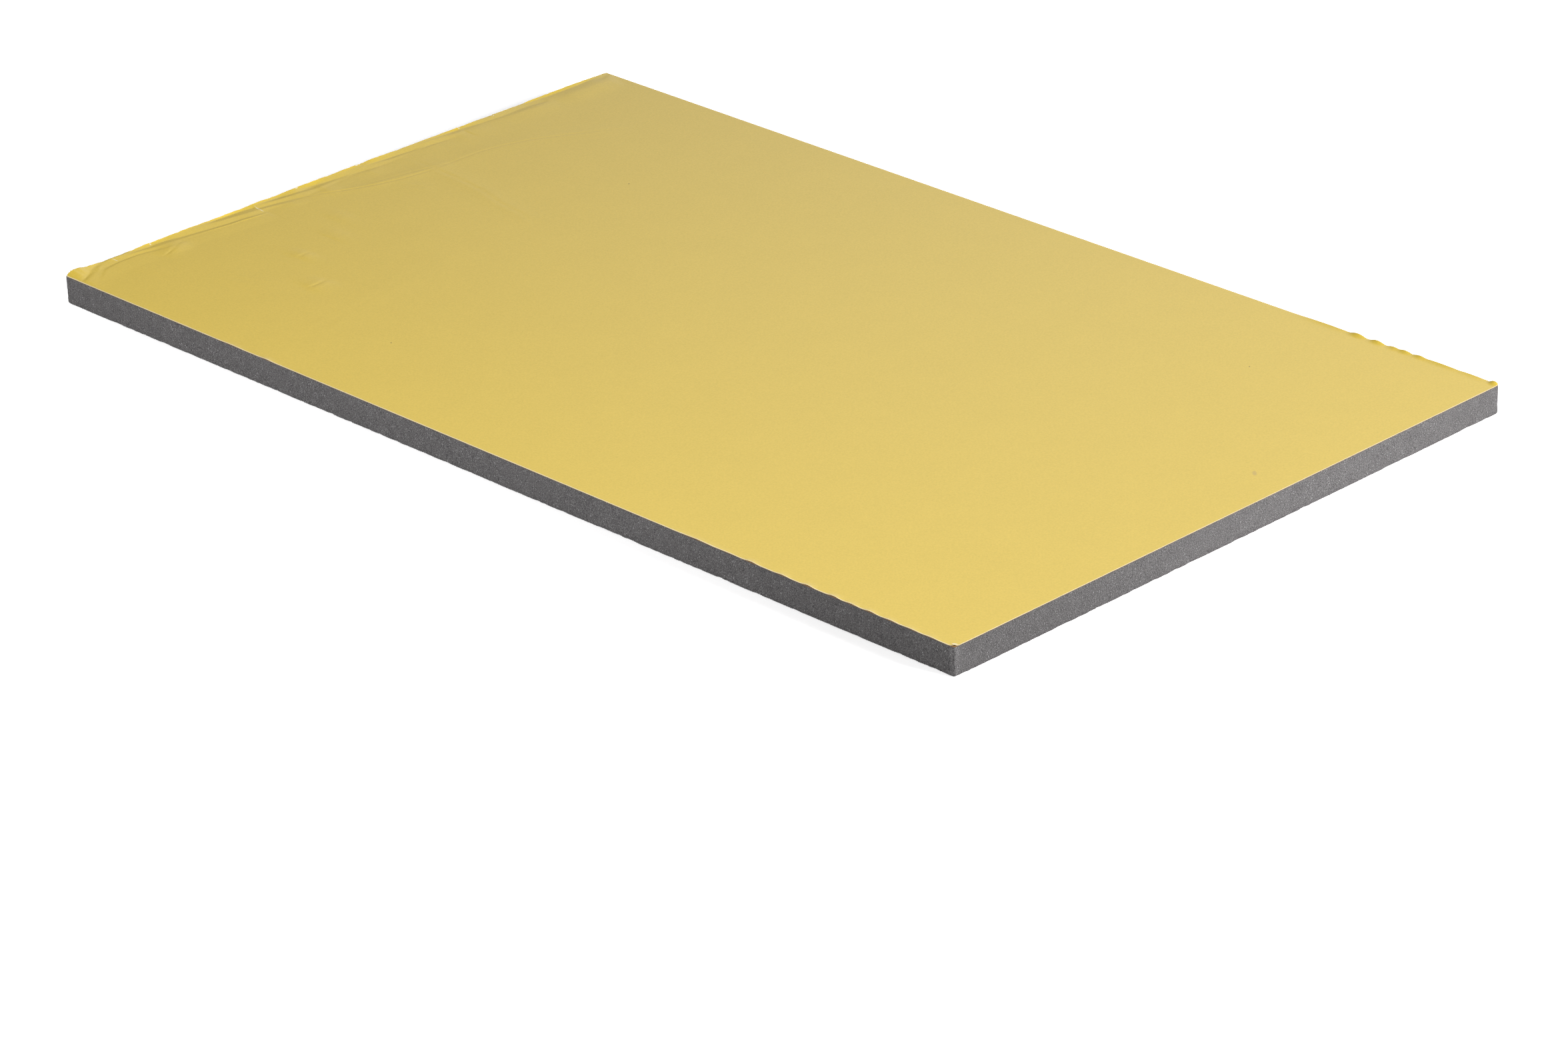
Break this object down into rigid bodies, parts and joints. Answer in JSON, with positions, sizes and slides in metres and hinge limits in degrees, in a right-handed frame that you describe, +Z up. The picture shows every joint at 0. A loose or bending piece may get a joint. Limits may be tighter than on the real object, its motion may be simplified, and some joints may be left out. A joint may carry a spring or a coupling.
{
  "type": "acoustic foam panel",
  "caption": "Flat rectangular slab of open-cell sound-absorbing foam with a self-adhesive back, shown with its peel-off paper liner still on.",
  "frame": {"origin": "middle of the slab's underside, which is the bare, sound-facing foam", "axes": "+Z up, out of the adhesive side through the liner; +X along the length; +Y along the width"},
  "size_m": [1, 0.6, 0.0274],
  "materials": {
    "foam": "matte, charcoal open-cell polyurethane foam, cut faces",
    "liner": "satin, yellow silicone-coated release paper"
  },
  "bodies": {
    "root": {"foam_slab": "foam", "release_liner": "liner"}
  },
  "joints": []
}
